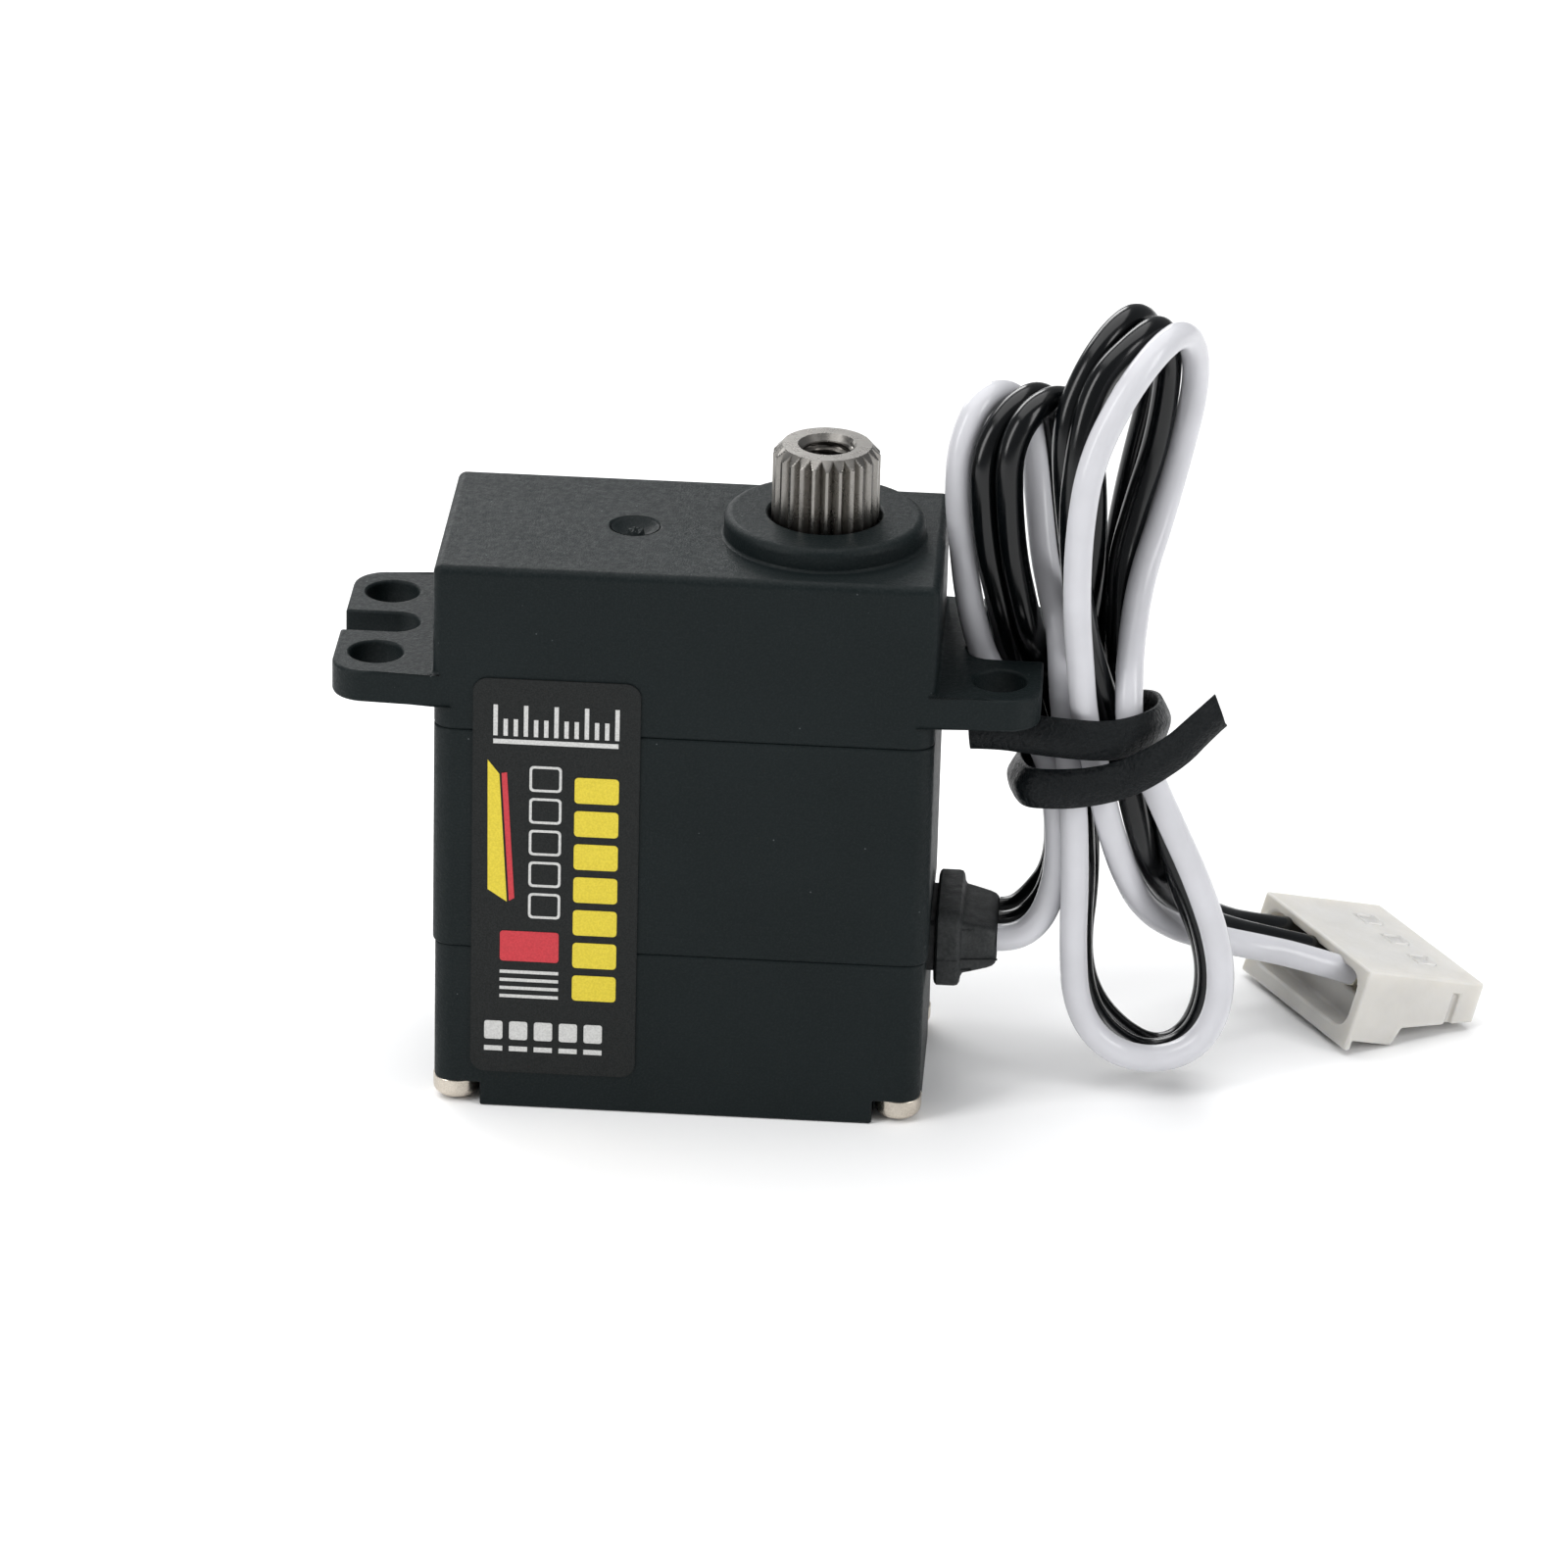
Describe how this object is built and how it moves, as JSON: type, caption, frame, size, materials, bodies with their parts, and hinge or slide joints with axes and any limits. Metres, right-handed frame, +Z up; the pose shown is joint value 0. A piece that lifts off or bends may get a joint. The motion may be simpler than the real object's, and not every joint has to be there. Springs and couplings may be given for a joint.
{
  "type": "servo motor",
  "caption": "Micro bus servo in a three-piece case with mounting ears, a splined steel output shaft and a tied three-wire lead with a connector.",
  "frame": {"origin": "middle of the case's flat underside", "axes": "+X along the case towards the output shaft and the lead, +Y to the back, +Z up along the output shaft"},
  "size_m": [0.0546, 0.0222, 0.0377],
  "materials": {
    "case_plastic": "finely textured black moulding",
    "nickel_screw": "nickel plate",
    "steel_shaft": "turned steel",
    "gear_steel": "hobbed steel",
    "gear_brass": "hobbed brass",
    "bearing_steel": "ground bearing steel",
    "armature_steel": "stacked laminations",
    "copper": "bare copper alloy",
    "ferrite": "sintered magnet",
    "motor_steel": "drawn and plated can",
    "nylon_cap": "nylon",
    "board_green": "solder mask",
    "chip_black": "moulded package",
    "capacitor_tan": "ceramic chip",
    "gland_rubber": "soft moulded rubber",
    "wire_white": "glossy insulation",
    "wire_black": "glossy insulation",
    "tie_rubber": "matt strap",
    "connector_nylon": "natural nylon",
    "contact_tin": "tin-plated crimp contact",
    "label_film": "printed film"
  },
  "bodies": {
    "case": {"top_case": "case_plastic", "middle_case": "case_plastic", "bottom_cover": "case_plastic", "case_screws": "nickel_screw", "upper_bearing_outer_ring": "bearing_steel", "lower_bearing_outer_ring": "bearing_steel", "gear_pin": "bearing_steel", "motor_magnets": "ferrite", "motor_can": "motor_steel", "motor_end_cap": "nylon_cap", "motor_terminals": "copper", "motor_brushes": "copper", "circuit_board": "board_green", "encoder_board": "board_green", "microcontroller": "chip_black", "motor_driver": "chip_black", "encoder_chip": "chip_black", "board_capacitors": "capacitor_tan", "header_pins": "copper", "cable_gland": "gland_rubber", "inner_wires": "wire_black", "signal_wire_lead": "wire_white", "signal_wire_tail": "wire_white", "positive_wire_lead": "wire_black", "positive_wire_tail": "wire_black", "negative_wire_lead": "wire_black", "negative_wire_tail": "wire_black", "cord_hank": "wire_black", "cord_tie": "tie_rubber", "connector_housing": "connector_nylon", "connector_contacts": "contact_tin", "front_label": "label_film"},
    "output": {"output_shaft": "steel_shaft", "output_gear": "gear_steel", "upper_bearing_inner_ring": "bearing_steel", "lower_bearing_inner_ring": "bearing_steel", "spindle_spacer": "gear_brass", "encoder_magnet": "ferrite"},
    "upper_balls": {"upper_bearing_balls": "bearing_steel"},
    "lower_balls": {"lower_bearing_balls": "bearing_steel"},
    "third_stage": {"third_gear": "gear_steel"},
    "second_stage": {"second_gear": "gear_steel"},
    "first_stage": {"first_gear": "gear_brass"},
    "rotor": {"motor_shaft": "bearing_steel", "motor_pinion": "gear_brass", "motor_armature": "armature_steel", "motor_commutator": "copper"}
  },
  "joints": [
    {"name": "output_turn", "type": "hinge", "parent": "case", "child": "output", "pos_m": [0.006, 0, 0.0265], "axis": [0, 0, 1], "continuous": true},
    {"name": "upper_ball_orbit", "type": "hinge", "parent": "case", "child": "upper_balls", "pos_m": [0.006, 0, 0.02645], "axis": [0, 0, 1], "continuous": true},
    {"name": "lower_ball_orbit", "type": "hinge", "parent": "case", "child": "lower_balls", "pos_m": [0.006, 0, 0.0182], "axis": [0, 0, 1], "continuous": true},
    {"name": "third_gear_turn", "type": "hinge", "parent": "case", "child": "third_stage", "pos_m": [0, 0, 0.0222], "axis": [0, 0, 1], "continuous": true},
    {"name": "second_gear_turn", "type": "hinge", "parent": "case", "child": "second_stage", "pos_m": [0.006, 0, 0.0211], "axis": [0, 0, 1], "continuous": true},
    {"name": "first_gear_turn", "type": "hinge", "parent": "case", "child": "first_stage", "pos_m": [0, 0, 0.0199], "axis": [0, 0, 1], "continuous": true},
    {"name": "rotor_turn", "type": "hinge", "parent": "case", "child": "rotor", "pos_m": [-0.0054, 0, 0.012], "axis": [0, 0, 1], "continuous": true}
  ],
  "couplings": [
    {"joint": "third_gear_turn", "follows": "output_turn", "ratio": -2.3333},
    {"joint": "second_gear_turn", "follows": "output_turn", "ratio": 5.6667},
    {"joint": "first_gear_turn", "follows": "output_turn", "ratio": -17},
    {"joint": "rotor_turn", "follows": "output_turn", "ratio": 74.8},
    {"joint": "upper_ball_orbit", "follows": "output_turn", "ratio": 0.44154},
    {"joint": "lower_ball_orbit", "follows": "output_turn", "ratio": 0.39143}
  ]
}
